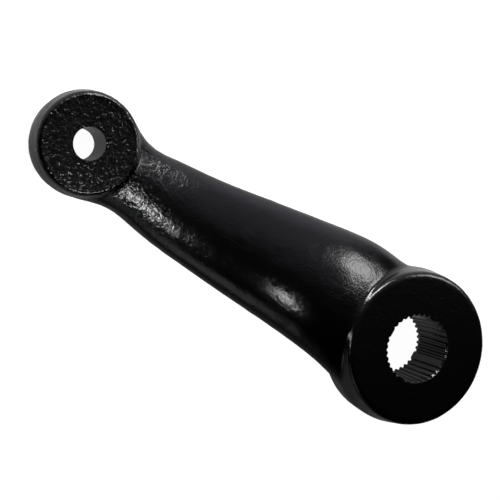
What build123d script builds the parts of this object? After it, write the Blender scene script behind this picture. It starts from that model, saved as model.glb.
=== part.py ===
from build123d import *
from math import cos, pi, radians, sin, tan
import os

os.makedirs("parts", exist_ok=True)

# Steering pitman arm, one steel forging: a round boss with a serrated bore that is pressed on the
# gearbox shaft, an oval arm that steps down from it, and a smaller boss with a tapered stud hole.
# Origin on the axis of the serrated bore, at the nut-side face of its boss. +Z runs along that bore
# towards the gearbox, +X runs to the stud hole. Millimetres.

# Shaft boss
SHAFT_BOSS_RADIUS = 36.3
SHAFT_BOSS_THICKNESS = 26.0
SHAFT_RIM_BEVEL = 1.0

# Serrated bore: 36 pitches, of which four are left blank so that the arm goes on in four ways only
SERRATION_PITCHES = 36
BLANK_PITCHES = 4
SERRATION_RADIUS = 15.875
SERRATION_DEPTH = 0.95
SERRATION_TAPER = 1 / 16
GROOVE_MOUTH_SHARE = 0.78
GROOVE_ROOT_SHARE = 0.2
BORE_MOUTH_CHAMFER = 0.7

# Stud boss
CENTRE_DISTANCE = 175.8
STUD_BOSS_RADIUS = 23.1
STUD_BOSS_THICKNESS = 20.0
STUD_BOSS_DROP = 16.0
STUD_BOSS_LEAN = 5.0
STUD_RIM_BEVEL = 1.0

# Tapered stud hole, wide end on the gearbox side
STUD_HOLE_RADIUS = 7.05
STUD_HOLE_TAPER = 1 / 32

# Forging
DRAFT_ANGLE = 7.0
FLASH_BAND = 3.0
NUT_SIDE_BEVEL = 1.0

# Arm: width and thickness of the oval, with the share of the centre distance at which each holds
ROOT_WIDTH, ROOT_THICKNESS, ROOT_AT = 68.6, 21.4, 0.05
COLLAR_WIDTH, COLLAR_THICKNESS, COLLAR_AT = 61.6, 23.0, 0.17
SHOULDER_WIDTH, SHOULDER_THICKNESS, SHOULDER_AT = 56.6, 23.8, 0.29
KNEE_WIDTH, KNEE_THICKNESS, KNEE_AT = 51.6, 23.0, 0.4
MIDDLE_WIDTH, MIDDLE_THICKNESS, MIDDLE_AT = 46.5, 20.6, 0.52
SHANK_WIDTH, SHANK_THICKNESS, SHANK_AT = 40.8, 18.8, 0.65
WRIST_WIDTH, WRIST_THICKNESS, WRIST_AT = 36.0, 18.0, 0.77
NECK_WIDTH, NECK_THICKNESS, NECK_AT = 33.6, 18.4, 0.86
FLARE_WIDTH, FLARE_THICKNESS, FLARE_AT = 40.8, 18.4, 0.92
TIP_WIDTH, TIP_THICKNESS, TIP_AT = 43.6, 17.0, 0.965

# Sideways bow, height and twist of the arm's middle line at the same places
ROOT_BOW = -0.6
COLLAR_BOW, COLLAR_RISE, COLLAR_TWIST = -1.7, 0.0, 4.0
SHOULDER_BOW, SHOULDER_RISE, SHOULDER_TWIST = -2.15, -0.4, 2.0
KNEE_BOW, KNEE_RISE = -1.0, -2.8
MIDDLE_BOW, MIDDLE_RISE = 0.45, -5.8
SHANK_BOW, SHANK_RISE = 1.9, -8.6
WRIST_BOW, WRIST_RISE = 2.2, -10.7
NECK_BOW, NECK_RISE = 1.4, -12.0
FLARE_RISE = -12.6

parting_height = SHAFT_BOSS_THICKNESS / 2
stud_face_centre = Vector(CENTRE_DISTANCE, 0, SHAFT_BOSS_THICKNESS - STUD_BOSS_DROP)
stud_axis = Vector(sin(radians(STUD_BOSS_LEAN)), 0, cos(radians(STUD_BOSS_LEAN)))
stud_middle = stud_face_centre - stud_axis * (STUD_BOSS_THICKNESS / 2)
stud_plane = Plane(origin=stud_middle, x_dir=(stud_axis.Z, 0, -stud_axis.X), z_dir=stud_axis)


def serration_outline(groove_radius):
    """Closed outline of the serrated bore: one groove for each pitch that isn't left blank."""
    pitch = 2 * pi / SERRATION_PITCHES
    crest_radius = groove_radius * (1 - SERRATION_DEPTH / SERRATION_RADIUS)
    mouth = pitch * GROOVE_MOUTH_SHARE / 2
    root = pitch * GROOVE_ROOT_SHARE / 2
    blank_every = SERRATION_PITCHES // BLANK_PITCHES
    corners = []
    for index in range(SERRATION_PITCHES):
        if index % blank_every == 0:
            continue
        middle = index * pitch
        corners += [
            (crest_radius * cos(middle - mouth), crest_radius * sin(middle - mouth)),
            (groove_radius * cos(middle - root), groove_radius * sin(middle - root)),
            (groove_radius * cos(middle + root), groove_radius * sin(middle + root)),
            (crest_radius * cos(middle + mouth), crest_radius * sin(middle + mouth)),
        ]
    return corners


with BuildPart() as pitman_arm:
    # The two bosses: walls drafted both ways from the trimmed flash band, with bevelled rims
    for plane, radius, thickness, rim_bevel in (
        (Plane.XY.offset(parting_height), SHAFT_BOSS_RADIUS, SHAFT_BOSS_THICKNESS, SHAFT_RIM_BEVEL),
        (stud_plane, STUD_BOSS_RADIUS, STUD_BOSS_THICKNESS, STUD_RIM_BEVEL),
    ):
        half = thickness / 2
        band = FLASH_BAND / 2
        rim = radius - (half - band) * tan(radians(DRAFT_ANGLE))
        with BuildSketch(Plane(origin=plane.origin, x_dir=plane.x_dir, z_dir=-plane.y_dir)) as profile:
            with BuildLine():
                Polyline((0, -half), (rim, -half), (radius, -band), (radius, band), (rim, half), (0, half), close=True)
            make_face()
            rims = profile.vertices().filter_by(lambda corner: rim / 2 < corner.X < (rim + radius) / 2)
            chamfer(rims.sort_by(Axis.Y)[-1], length=rim_bevel)
            chamfer(rims.sort_by(Axis.Y)[0], length=NUT_SIDE_BEVEL)
        revolve(axis=Axis(plane.origin, plane.z_dir))

    # The oval arm, from the middle of one boss to the middle of the other
    stations = [
        (ROOT_AT, ROOT_BOW, 0, 0, ROOT_WIDTH, ROOT_THICKNESS),
        (COLLAR_AT, COLLAR_BOW, COLLAR_RISE, COLLAR_TWIST, COLLAR_WIDTH, COLLAR_THICKNESS),
        (SHOULDER_AT, SHOULDER_BOW, SHOULDER_RISE, SHOULDER_TWIST, SHOULDER_WIDTH, SHOULDER_THICKNESS),
        (KNEE_AT, KNEE_BOW, KNEE_RISE, 0, KNEE_WIDTH, KNEE_THICKNESS),
        (MIDDLE_AT, MIDDLE_BOW, MIDDLE_RISE, 0, MIDDLE_WIDTH, MIDDLE_THICKNESS),
        (SHANK_AT, SHANK_BOW, SHANK_RISE, 0, SHANK_WIDTH, SHANK_THICKNESS),
        (WRIST_AT, WRIST_BOW, WRIST_RISE, 0, WRIST_WIDTH, WRIST_THICKNESS),
        (NECK_AT, NECK_BOW, NECK_RISE, 0, NECK_WIDTH, NECK_THICKNESS),
        (FLARE_AT, 0, FLARE_RISE, 0, FLARE_WIDTH, FLARE_THICKNESS),
        (TIP_AT, 0, stud_middle.Z - parting_height, 0, TIP_WIDTH, TIP_THICKNESS),
    ]
    for share, bow, rise, twist, width, thickness in stations:
        middle = (share * CENTRE_DISTANCE, bow, parting_height + rise)
        down = (0, sin(radians(twist)), -cos(radians(twist)))
        with BuildSketch(Plane(origin=middle, x_dir=down, z_dir=(1, 0, 0))):
            Ellipse(thickness / 2, width / 2)
    loft()

    # Serrated bore, tapered towards the nut side, with a lead-in chamfer at its wide mouth
    wide_radius = SERRATION_RADIUS
    narrow_radius = SERRATION_RADIUS - SHAFT_BOSS_THICKNESS * SERRATION_TAPER / 2
    with BuildSketch(Plane.XY):
        Polygon(*serration_outline(narrow_radius), align=None)
    with BuildSketch(Plane.XY.offset(SHAFT_BOSS_THICKNESS)):
        Polygon(*serration_outline(wide_radius), align=None)
    loft(ruled=True, mode=Mode.SUBTRACT)
    with Locations((0, 0, SHAFT_BOSS_THICKNESS)):
        Cone(
            wide_radius - SERRATION_DEPTH,
            wide_radius - SERRATION_DEPTH + BORE_MOUTH_CHAMFER,
            BORE_MOUTH_CHAMFER,
            align=(Align.CENTER, Align.CENTER, Align.MAX),
            mode=Mode.SUBTRACT,
        )

    # Tapered stud hole, wide at the gearbox-side face
    hole_narrow_radius = STUD_HOLE_RADIUS - STUD_BOSS_THICKNESS * STUD_HOLE_TAPER / 2
    with Locations(stud_plane):
        Cone(hole_narrow_radius, STUD_HOLE_RADIUS, STUD_BOSS_THICKNESS, mode=Mode.SUBTRACT)

pitman_arm.part.label = "pitman_arm"
export_step(pitman_arm.part, "parts/pitman_arm.step")
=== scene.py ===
# %% [markdown]
# # A forged pitman arm, in black paint
#
# A pitman arm is the lever that a steering box turns. This one is a single steel forging: a round
# boss with a serrated bore, an oval arm, and a smaller boss with a tapered hole for a ball stud.
# The solid comes from the frame at its real size. This lesson gives it the skin that forging and
# painting leave, then lights it the way a small part is photographed on a white table.

# %% Load the frame
from math import cos, pi, radians, sin

import bmesh
import bpy
from mathutils import Matrix, Vector, noise


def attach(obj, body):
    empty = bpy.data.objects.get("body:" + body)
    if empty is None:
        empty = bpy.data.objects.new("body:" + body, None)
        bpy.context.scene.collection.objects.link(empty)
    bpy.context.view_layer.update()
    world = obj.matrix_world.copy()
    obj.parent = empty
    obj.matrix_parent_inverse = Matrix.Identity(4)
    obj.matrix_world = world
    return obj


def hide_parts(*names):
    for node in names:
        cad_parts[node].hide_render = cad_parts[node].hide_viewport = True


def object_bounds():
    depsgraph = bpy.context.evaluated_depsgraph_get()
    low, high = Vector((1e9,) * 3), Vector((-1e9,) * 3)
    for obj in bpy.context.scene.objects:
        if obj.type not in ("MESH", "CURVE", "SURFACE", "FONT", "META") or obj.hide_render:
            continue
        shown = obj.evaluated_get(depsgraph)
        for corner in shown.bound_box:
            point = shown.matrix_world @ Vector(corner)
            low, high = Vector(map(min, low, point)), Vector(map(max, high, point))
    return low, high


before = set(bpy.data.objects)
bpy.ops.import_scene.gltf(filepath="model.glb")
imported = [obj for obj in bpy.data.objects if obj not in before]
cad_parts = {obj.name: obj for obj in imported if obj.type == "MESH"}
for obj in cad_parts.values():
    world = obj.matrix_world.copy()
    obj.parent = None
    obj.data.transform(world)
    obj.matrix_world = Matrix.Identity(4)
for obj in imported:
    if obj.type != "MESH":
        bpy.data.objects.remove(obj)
cad_box = [list(corner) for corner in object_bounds()]
low, high = (Vector(corner) for corner in cad_box)
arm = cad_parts["pitman_arm"]
MM = 0.001
print("CAD box in metres:", cad_box)

# %% [markdown]
# ## The solid, ready for a skin
#
# A forging has no sharp outer edge: its rims are rounded, its corners run together and its skin is
# slightly uneven. Fillets on the solid could round the rims, but not the corners where three forms
# meet. So a copy of the solid is rebuilt from small cubes and relaxed, which rounds every corner at
# once. The solid's own mesh is loose triangles, so the copy's doubles are merged first.

# %% Copy the solid
WELD = 0.001 * MM


def new_piece(name, mesh):
    """Put a bmesh in the scene under a name, and free it."""
    data = bpy.data.meshes.new(name)
    mesh.to_mesh(data)
    mesh.free()
    piece = bpy.data.objects.new(name, data)
    bpy.context.collection.objects.link(piece)
    return piece


copied = bmesh.new()
copied.from_mesh(arm.data)
bmesh.ops.transform(copied, matrix=arm.matrix_world, verts=copied.verts)
bmesh.ops.remove_doubles(copied, verts=copied.verts, dist=WELD)
forging = new_piece("forged_arm", copied)
print("Merged copy:", len(forging.data.vertices), "vertices,", len(forging.data.polygons), "faces")

# %% [markdown]
# ## Plugs for the two holes
#
# On the real part both holes are machined after forging, so their edges stay crisp. Relaxing the
# mesh would melt the serrations. Each hole is therefore closed with a plug that is a little wider
# than the hole and ends level with both faces, and is cut again at the end.

# %% Plug the holes
FACE_HEIGHT = 26.0 * MM
GROOVE_RADIUS = 15.875 * MM
STUD_FACE = Vector((175.8 * MM, 0, 10.0 * MM))
STUD_LEAN = radians(5.0)
STUD_THICKNESS = 20.0 * MM
STUD_HOLE_RADIUS = 7.05 * MM
PLUG_SPARE = 0.8 * MM
ROUND_SIDES = 96
UP = Vector((0, 0, 1))
stud_axis = Vector((sin(STUD_LEAN), 0, cos(STUD_LEAN)))


def cone(name, foot, top, foot_radius, top_radius):
    """Make a closed cone or cylinder between the centres of its two ends."""
    mesh = bmesh.new()
    axis = top - foot
    lie = Matrix.Translation((foot + top) / 2) @ axis.to_track_quat("Z", "Y").to_matrix().to_4x4()
    bmesh.ops.create_cone(mesh, cap_ends=True, segments=ROUND_SIDES, radius1=foot_radius,
                          radius2=top_radius, depth=axis.length, matrix=lie)
    return new_piece(name, mesh)


def join_into(piece, others):
    """Add the meshes of other objects to a piece and remove them."""
    merged = bmesh.new()
    for source in (piece, *others):
        merged.from_mesh(source.data)
    merged.to_mesh(piece.data)
    merged.free()
    for other in others:
        bpy.data.objects.remove(other)


bore_plug_radius = GROOVE_RADIUS + PLUG_SPARE
stud_plug_radius = STUD_HOLE_RADIUS + PLUG_SPARE
plugs = [
    cone("bore_plug", UP * 0, UP * FACE_HEIGHT, bore_plug_radius, bore_plug_radius),
    cone("stud_plug", STUD_FACE - stud_axis * STUD_THICKNESS, STUD_FACE, stud_plug_radius, stud_plug_radius),
]
join_into(forging, plugs)
print("Plugs:", len(plugs), "joined to", forging.name)

# %% [markdown]
# ## The rebuilt skin
#
# A voxel remesh turns overlapping solids into one even skin, whatever edges they had. The voxel is
# as small as the piece's budget of triangles allows. Smoothing then draws each vertex towards its
# neighbours: a dozen passes round the rims by roughly a millimetre, and blend arm and bosses.

# %% Rebuild and relax
VOXEL = 0.68 * MM
RELAX_FACTOR = 0.5
RELAX_PASSES = 12


def apply_modifiers(piece):
    """Replace a piece's mesh by its modified mesh."""
    shaped = piece.evaluated_get(bpy.context.evaluated_depsgraph_get())
    data = bpy.data.meshes.new_from_object(shaped)
    piece.modifiers.clear()
    piece.data = data


rebuild = forging.modifiers.new("rebuild", "REMESH")
rebuild.mode = "VOXEL"
rebuild.voxel_size = VOXEL
relax = forging.modifiers.new("relax", "SMOOTH")
relax.factor = RELAX_FACTOR
relax.iterations = RELAX_PASSES
apply_modifiers(forging)
print("Rebuilt skin:", len(forging.data.vertices), "vertices,", len(forging.data.polygons), "faces")

# %% [markdown]
# ## The uneven skin
#
# Scale and die wear leave a forging wavy, and the stud end of this one is pitted as well. Moving each
# vertex along its normal by noise, less than half a millimetre of it, bends the reflections as the
# real skin does, which a bump alone can't do at the outline. The faces of the shaft boss look
# machined, so they stay flat. Paint has gathered in a thin bead inside the rim of the stud boss.

# %% Waves, pits and a bead
SWELL_SIZE = 7.0 * MM
SWELL_HEIGHT = 0.10 * MM
PEEL_SIZE = 2.4 * MM
PEEL_HEIGHT = 0.035 * MM
PIT_SIZE = 1.9 * MM
PIT_DEPTH = 0.16 * MM
PITS_FROM = 110.0 * MM
PITS_TO = 160.0 * MM
MACHINED_RADIUS = 33.0 * MM
MACHINED_FADE = 1.0 * MM
FACE_FROM = 0.4 * MM
FACE_TO = 0.2 * MM
BEAD_RADIUS = 20.4 * MM
BEAD_WIDTH = 1.3 * MM
BEAD_HEIGHT = 0.30 * MM
BEAD_FROM = 1.5 * MM
BEAD_TO = 0.5 * MM


def step(start, end, value):
    """Run smoothly from 0 at the start to 1 at the end."""
    share = min(max((value - start) / (end - start), 0.0), 1.0)
    return share * share * (3 - 2 * share)


def machined_at(place):
    """1 on the machined faces of the shaft boss, 0 elsewhere."""
    reach = (place.x ** 2 + place.y ** 2) ** 0.5
    on_top = step(FACE_HEIGHT - FACE_FROM, FACE_HEIGHT - FACE_TO, place.z)
    on_bottom = step(-FACE_FROM, -FACE_TO, -place.z)
    return max(on_top, on_bottom) * (1 - step(MACHINED_RADIUS, MACHINED_RADIUS + MACHINED_FADE, reach))


def bead_at(place):
    """1 along the bead of paint inside the rim of the stud boss, 0 elsewhere."""
    away = place - STUD_FACE
    height = away.dot(stud_axis)
    reach = (away - stud_axis * height).length
    on_face = step(-BEAD_FROM, -BEAD_TO, height)
    return on_face * step(0, 1, 1 - abs(reach - BEAD_RADIUS) / BEAD_WIDTH)


def lift_at(place):
    """How far the skin stands out at a place."""
    swell = noise.noise(place / SWELL_SIZE)
    lift = SWELL_HEIGHT * (swell - 0.5) + PEEL_HEIGHT * noise.noise(place / PEEL_SIZE)
    pitted = step(PITS_FROM, PITS_TO, place.x)
    lift -= PIT_DEPTH * pitted * max(noise.noise(place / PIT_SIZE), 0.0)
    lift += BEAD_HEIGHT * bead_at(place) * (1 + swell)
    return lift * (1 - machined_at(place))


skin = [(vertex, vertex.co.copy(), vertex.normal.copy()) for vertex in forging.data.vertices]
lifts = [lift_at(place) for vertex, place, outward in skin]
for (vertex, place, outward), lift in zip(skin, lifts):
    vertex.co = place + outward * lift
print("Skin moved by", round(min(lifts) / MM, 3), "to", round(max(lifts) / MM, 3), "mm")

# %% [markdown]
# ## The serrated bore
#
# A shaft with the same teeth sits in this bore and can't slip. The teeth divide the turn in 36, and
# one tooth in every nine is left out, so that the arm goes on in only four ways. The bore tapers, so
# the shaft's nut draws the arm tight. The cutter could be lofted tooth by tooth. It is made in one
# go instead: the outline at the foot is extruded to the top and scaled there, so every flank is flat.

# %% Serration cutter
GROOVE_DEPTH = 0.95 * MM
BORE_TAPER = 1 / 16
PITCHES = 36
BLANKS = 4
MOUTH_SHARE = 0.78
ROOT_SHARE = 0.2
MOUTH_CHAMFER = 0.7 * MM
PAST = 2.0 * MM


def groove_radius(height):
    """Radius of the grooves' circle at a height in the bore."""
    return GROOVE_RADIUS - (FACE_HEIGHT - height) * BORE_TAPER / 2


def serration_outline(height):
    """Corners of the bore at a height: a groove for each pitch that isn't left blank."""
    groove = groove_radius(height)
    crest = groove * (1 - GROOVE_DEPTH / GROOVE_RADIUS)
    profile = ((crest, -MOUTH_SHARE), (groove, -ROOT_SHARE), (groove, ROOT_SHARE), (crest, MOUTH_SHARE))
    pitch = 2 * pi / PITCHES
    corners = []
    for index in range(PITCHES):
        if index % (PITCHES // BLANKS) == 0:
            continue
        for radius, share in profile:
            angle = (index + share / 2) * pitch
            corners.append(Vector((radius * cos(angle), radius * sin(angle), height)))
    return corners


def serration_cutter():
    """Extrude the outline from below the bore to above it, and widen the top by the taper."""
    foot = -PAST
    top = FACE_HEIGHT + PAST
    widening = groove_radius(top) / groove_radius(foot)
    mesh = bmesh.new()
    outline = mesh.faces.new([mesh.verts.new(corner) for corner in serration_outline(foot)])
    grown = bmesh.ops.extrude_face_region(mesh, geom=[outline])
    upper = [part for part in grown["geom"] if isinstance(part, bmesh.types.BMVert)]
    bmesh.ops.translate(mesh, vec=UP * (top - foot), verts=upper)
    bmesh.ops.scale(mesh, vec=(widening, widening, 1), verts=upper)
    bmesh.ops.recalc_face_normals(mesh, faces=mesh.faces)
    return new_piece("serration_cutter", mesh)


cutters = [serration_cutter()]
print("Serration:", PITCHES, "pitches,", BLANKS, "blank, groove circle", 2 * GROOVE_RADIUS / MM, "mm")

# %% [markdown]
# ## The mouth and the stud hole
#
# A small chamfer leads the shaft in, and the stud's hole tapers so slightly that it looks straight.
# Both are cones that run past the faces, because a cutter that ends level with a face can leave a
# thin film. The boolean takes all three cutters in turn. Vertices are then held within the solid's
# box, since noise may have pushed a few past it.

# %% Cut the holes again
STUD_HOLE_TAPER = 1 / 32
SHARP_ANGLE = radians(38)

crest_at_face = GROOVE_RADIUS - GROOVE_DEPTH
stud_foot = STUD_THICKNESS + PAST
stud_narrowing = STUD_HOLE_TAPER / 2
cutters += [
    cone("mouth_cutter", UP * (FACE_HEIGHT - MOUTH_CHAMFER), UP * (FACE_HEIGHT + PAST),
         crest_at_face, crest_at_face + MOUTH_CHAMFER + PAST),
    cone("stud_cutter", STUD_FACE - stud_axis * stud_foot, STUD_FACE + stud_axis * PAST,
         STUD_HOLE_RADIUS - stud_foot * stud_narrowing, STUD_HOLE_RADIUS + PAST * stud_narrowing),
]
for cutter in cutters:
    cut = forging.modifiers.new("cut", "BOOLEAN")
    cut.operation = "DIFFERENCE"
    cut.object = cutter
    cut.solver = "MANIFOLD"
apply_modifiers(forging)
for cutter in cutters:
    bpy.data.objects.remove(cutter)

for vertex in forging.data.vertices:
    for axis in range(3):
        vertex.co[axis] = min(max(vertex.co[axis], low[axis]), high[axis])
forging.data.shade_smooth()
forging.data.set_sharp_from_angle(angle=SHARP_ANGLE)
triangles = sum(len(face.vertices) - 2 for face in forging.data.polygons)
print("Forging:", len(forging.data.vertices), "vertices,", triangles, "triangles")

# %% [markdown]
# ## The forging takes the solid's place
#
# A library part keeps its solid for fitting and its skin for looks. So the skin isn't a loose extra:
# it replaces the solid's node in the render, rides on the same body, and has a paint of its own.

# %% Place the forging
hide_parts("pitman_arm")
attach(forging, "root")
print(forging.name, "replaces", arm.name)

# %% [markdown]
# ## Small helpers for materials
#
# A finish is easier to trust when its colours are written as they look on a screen, so one
# function turns an sRGB hex value to the linear numbers that the shader wants. A second adds one
# node, sets what it is told and makes its links, so that each finish below reads as a list.

# %% Helpers
def linear(hex_colour):
    """Turn an sRGB colour such as 808080 to linear red, green, blue and an alpha of 1."""
    shown = [int(hex_colour[place:place + 2], 16) / 255 for place in (0, 2, 4)]
    return [c / 12.92 if c <= 0.04045 else ((c + 0.055) / 1.055) ** 2.4 for c in shown] + [1.0]


def add_node(tree, kind, settings=None, values=None, links=None):
    """Add one node to a tree, with its settings, its socket values and the sockets that feed it."""
    node = tree.nodes.new(kind)
    for name, value in (settings or {}).items():
        setattr(node, name, value)
    for socket, value in (values or {}).items():
        node.inputs[socket].default_value = value
    for socket, source in (links or {}).items():
        tree.links.new(source, node.inputs[socket])
    return node


def new_material(name):
    """Make an empty node material and return it with its tree and its output node."""
    material = bpy.data.materials.new(name)
    material.use_nodes = True
    material.node_tree.nodes.clear()
    return material, material.node_tree, add_node(material.node_tree, "ShaderNodeOutputMaterial")


print("A mid grey of 808080 is", round(linear("808080")[0], 3), "in linear light")

# %% [markdown]
# ## Black paint
#
# The whole arm is coated in glossy black paint. It has almost no colour of its own: what shows is
# the room, mirrored and broken up by the surface. So the base is nearly black and smooth, and three
# bumps of real size do the work: slow waves, fine orange peel, and deeper pits that fade in towards
# the stud end. They are too fine for the mesh, and the patterns sit on the piece's own coordinates.

# %% Paint
WAVE_SIZE = 2.6 * MM
WAVE_HEIGHT = 0.045 * MM
ORANGE_PEEL_SIZE = 0.9 * MM
ORANGE_PEEL_HEIGHT = 0.10 * MM
PITTING_SIZE = 1.7 * MM
PITTING_HEIGHT = 0.32 * MM
PITTING_FROM = 112.0 * MM
PITTING_TO = 158.0 * MM


def black_paint():
    """Glossy black paint: orange peel everywhere, and the pitted skin of the stud end under it."""
    material, tree, output = new_material("black_paint_on_forging")
    place = add_node(tree, "ShaderNodeTexCoord").outputs["Object"]
    axes = add_node(tree, "ShaderNodeSeparateXYZ", None, None, {0: place})
    rough = add_node(tree, "ShaderNodeMapRange", {"interpolation_type": "SMOOTHSTEP"},
                     {"From Min": PITTING_FROM, "From Max": PITTING_TO}, {"Value": axes.outputs["X"]})
    waves = add_node(tree, "ShaderNodeTexNoise", None,
                     {"Scale": 1 / WAVE_SIZE, "Detail": 1.0}, {"Vector": place})
    peel = add_node(tree, "ShaderNodeTexNoise", None,
                    {"Scale": 1 / ORANGE_PEEL_SIZE, "Detail": 2.5, "Roughness": 0.6}, {"Vector": place})
    pits = add_node(tree, "ShaderNodeTexNoise", None,
                    {"Scale": 1 / PITTING_SIZE, "Detail": 2.5, "Roughness": 0.6, "Distortion": 0.6},
                    {"Vector": place})
    wavy = add_node(tree, "ShaderNodeBump", None, {"Strength": 1.0, "Distance": WAVE_HEIGHT},
                    {"Height": waves.outputs[0]})
    fine = add_node(tree, "ShaderNodeBump", None, {"Strength": 1.0, "Distance": ORANGE_PEEL_HEIGHT},
                    {"Height": peel.outputs[0], "Normal": wavy.outputs[0]})
    pitted = add_node(tree, "ShaderNodeBump", None, {"Distance": PITTING_HEIGHT},
                      {"Height": pits.outputs[0], "Strength": rough.outputs[0],
                       "Normal": fine.outputs[0]})
    shader = add_node(tree, "ShaderNodeBsdfPrincipled", None,
                      {"Base Color": linear("010101"), "Roughness": 0.17, "IOR": 1.5},
                      {"Normal": pitted.outputs[0]})
    tree.links.new(shader.outputs[0], output.inputs["Surface"])
    return material


forging.data.materials.clear()
forging.data.materials.append(black_paint())
print("Paint:", forging.data.materials[0].name)

# %% [markdown]
# ## The white table
#
# The arm lies on a plain white table. To the camera it is almost overexposed, with only a trace of
# the arm's shadow. The paint mirrors it, though, and as bright as that it would wash out the walls of
# both bosses. So the light that it gives to all other rays is dimmer, and fades towards the +Y side,
# where the walls are darker.

# %% Table
TABLE_SIZE = 8.0
TABLE_MIDDLE = 80.0 * MM
BRIGHT_SIDE = -100.0 * MM
DIM_SIDE = 50.0 * MM
BRIGHT_GLOW = 0.70
DIM_GLOW = 0.03
CAMERA_GLOW = 0.97


def white_table():
    """A matt white that glows: brightly to the camera, and more dimly to the paint."""
    material, tree, output = new_material("white_table_top")
    rays = add_node(tree, "ShaderNodeLightPath")
    matt = add_node(tree, "ShaderNodeBsdfDiffuse", None, {"Color": linear("a0a0a0")})
    place = add_node(tree, "ShaderNodeNewGeometry").outputs["Position"]
    axes = add_node(tree, "ShaderNodeSeparateXYZ", None, None, {0: place})
    mirrored = add_node(tree, "ShaderNodeMapRange", {"interpolation_type": "SMOOTHSTEP"},
                        {"From Min": BRIGHT_SIDE, "From Max": DIM_SIDE,
                         "To Min": BRIGHT_GLOW, "To Max": DIM_GLOW},
                        {"Value": axes.outputs["Y"]})
    strength = add_node(tree, "ShaderNodeMapRange", None, {"To Max": CAMERA_GLOW},
                        {"Value": rays.outputs["Is Camera Ray"], "To Min": mirrored.outputs[0]})
    glow = add_node(tree, "ShaderNodeEmission", None, {"Color": linear("ffffff")},
                    {"Strength": strength.outputs[0]})
    both = add_node(tree, "ShaderNodeAddShader", None, None, {0: matt.outputs[0], 1: glow.outputs[0]})
    tree.links.new(both.outputs[0], output.inputs["Surface"])
    return material


bpy.ops.mesh.primitive_plane_add(size=TABLE_SIZE, location=(TABLE_MIDDLE, 0, low.z))
table = bpy.context.object
table.name = "table"
table.data.materials.append(white_table())
print("Table at", round(low.z / MM, 2), "mm, under the stud boss")

# %% [markdown]
# ## The room
#
# Glossy black shows its surroundings more than itself. A white sweep hangs on the arm's -Y side. It
# is brightest at the horizon, where it lights the upper edge of the arm, and it grades to black over
# the arm's back. A faint band near the +Y horizon keeps the lower edge from going quite black. The
# sweep fades towards -X, so that the far flank of each form falls dark. A colour ramp over the
# direction of each ray draws all this without any object to get in the way.

# %% Room
# How bright the sweep is, from the -Y horizon (-1) over the zenith (0) to the +Y horizon (1)
SWEEP = ((-0.97, 1.0), (-0.85, 0.62), (-0.70, 0.42), (-0.40, 0.33), (-0.24, 0.17), (-0.05, 0.04),
         (0.12, 0.0), (0.70, 0.0), (0.84, 0.04), (0.97, 0.10))
SWEEP_TINT = "f4f0ff"
FADED_FROM = -0.6
FADED_TO = -0.2
FADED_SHARE = 0.05


def room():
    """A dark room with a white sweep that is brightest at the horizon on the arm's -Y side."""
    world = bpy.data.worlds.new("studio")
    bpy.context.scene.world = world
    world.use_nodes = True
    tree = world.node_tree
    tree.nodes.clear()
    output = add_node(tree, "ShaderNodeOutputWorld")
    way = add_node(tree, "ShaderNodeTexCoord").outputs["Generated"]
    axes = add_node(tree, "ShaderNodeSeparateXYZ", None, None, {0: way})
    across = add_node(tree, "ShaderNodeMapRange", None, {"From Min": -1.0, "From Max": 1.0},
                      {"Value": axes.outputs["Y"]})
    sweep = add_node(tree, "ShaderNodeValToRGB", None, None, {0: across.outputs[0]})
    stops = sweep.color_ramp.elements
    while len(stops) < len(SWEEP):
        stops.new(0.5)
    for stop, (side, light) in zip(stops, SWEEP):
        stop.position = (side + 1) / 2
        stop.color = (light, light, light, 1.0)
    edge = add_node(tree, "ShaderNodeMapRange", {"interpolation_type": "SMOOTHSTEP"},
                    {"From Min": FADED_FROM, "From Max": FADED_TO, "To Min": FADED_SHARE, "To Max": 1.0},
                    {"Value": axes.outputs["X"]})
    strength = add_node(tree, "ShaderNodeMath", {"operation": "MULTIPLY"}, None,
                        {0: sweep.outputs[0], 1: edge.outputs[0]})
    sky = add_node(tree, "ShaderNodeBackground", None, {"Color": linear(SWEEP_TINT)},
                   {"Strength": strength.outputs[0]})
    tree.links.new(sky.outputs[0], output.inputs["Surface"])
    return world


print("Room:", room().name, "with", len(SWEEP), "stops in its sweep")


# %% [markdown]
# ## The lamps
#
# The bright spots on the arm are mirrored lamps, so each lamp is hung where the paint shows it: at a
# place on the arm, a direction and a distance. A lamp close to the arm makes a short round spot, and
# one further off makes a long streak down a ridge, because the mirrored direction hardly changes
# along it. The two rim lamps have a narrow beam, so that they light the rims and not the arm.

# %% Lamps
def softbox(name, shines_on, direction, distance, size, power, spread=180):
    """Hang a square lamp at a distance from a place on the arm, where the paint mirrors it."""
    data = bpy.data.lights.new(name, "AREA")
    data.shape = "SQUARE"
    data.spread = radians(spread)
    data.size = size
    data.energy = power
    lamp = bpy.data.objects.new(name, data)
    towards = Vector(direction).normalized()
    lamp.location = Vector(shines_on) + towards * distance
    lamp.rotation_euler = towards.to_track_quat("Z", "Y").to_euler()
    lamp.visible_camera = False
    bpy.context.collection.objects.link(lamp)
    return lamp


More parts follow.
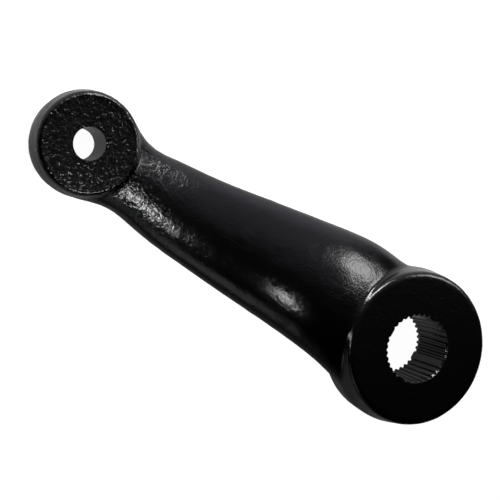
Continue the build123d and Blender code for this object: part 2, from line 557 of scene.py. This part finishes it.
lamps = [
    softbox("neck_lamp", shines_on=(0.152, 0.008, 0.008), direction=(-0.13, 0.40, 0.90),
            distance=0.11, size=0.021, power=0.060),
    softbox("knee_lamp", shines_on=(0.067, 0.013, 0.021), direction=(-0.08, 0.37, 0.93),
            distance=0.05, size=0.007, power=0.0050),
    softbox("plateau_lamp", shines_on=(0.045, -0.020, 0.023), direction=(-0.45, -0.57, 0.69),
            distance=0.45, size=0.14, power=0.62),
    softbox("strip_lamp", shines_on=(0.110, 0.016, 0.004), direction=(-0.15, 0.86, 0.49),
            distance=0.25, size=0.10, power=0.018),
    softbox("stud_rim_lamp", shines_on=(0.187, -0.020, 0.009), direction=(0.05, -0.76, 0.64),
            distance=0.13, size=0.10, power=0.030, spread=32),
    softbox("shaft_rim_lamp", shines_on=(0.030, -0.014, 0.025), direction=(0.60, -0.56, 0.57),
            distance=0.15, size=0.07, power=0.020, spread=36),
]
print("Lamps:", ", ".join(lamp.name for lamp in lamps))

# %% [markdown]
# ## The camera
#
# A catalogue photo is taken from well back with a long lens, which keeps both bosses nearly in
# proportion. The camera stands above the stud end and looks down the arm to the serrated bore.

# %% Camera
CAMERA_PLACE = Vector((0.36607, 0.08602, 0.64722))
CAMERA_LOOK = Vector((-0.39611, -0.12111, -0.91018))
CAMERA_UP = Vector((0.49580, -0.86255, -0.10100))
CAMERA_LENS = 115.2
SENSOR_WIDTH = 36.0

camera_data = bpy.data.cameras.new("camera")
camera_data.lens = CAMERA_LENS
camera_data.sensor_width = SENSOR_WIDTH
camera = bpy.data.objects.new("camera", camera_data)
back = -CAMERA_LOOK.normalized()
right = CAMERA_UP.cross(back).normalized()
up = back.cross(right)
turn = Matrix((right, up, back)).transposed().to_4x4()
camera.matrix_world = Matrix.Translation(CAMERA_PLACE) @ turn
bpy.context.collection.objects.link(camera)
bpy.context.scene.camera = camera
bpy.context.scene.view_settings.view_transform = "Standard"
print("Camera", round(CAMERA_PLACE.length, 3), "m from the bore, lens", CAMERA_LENS, "mm")
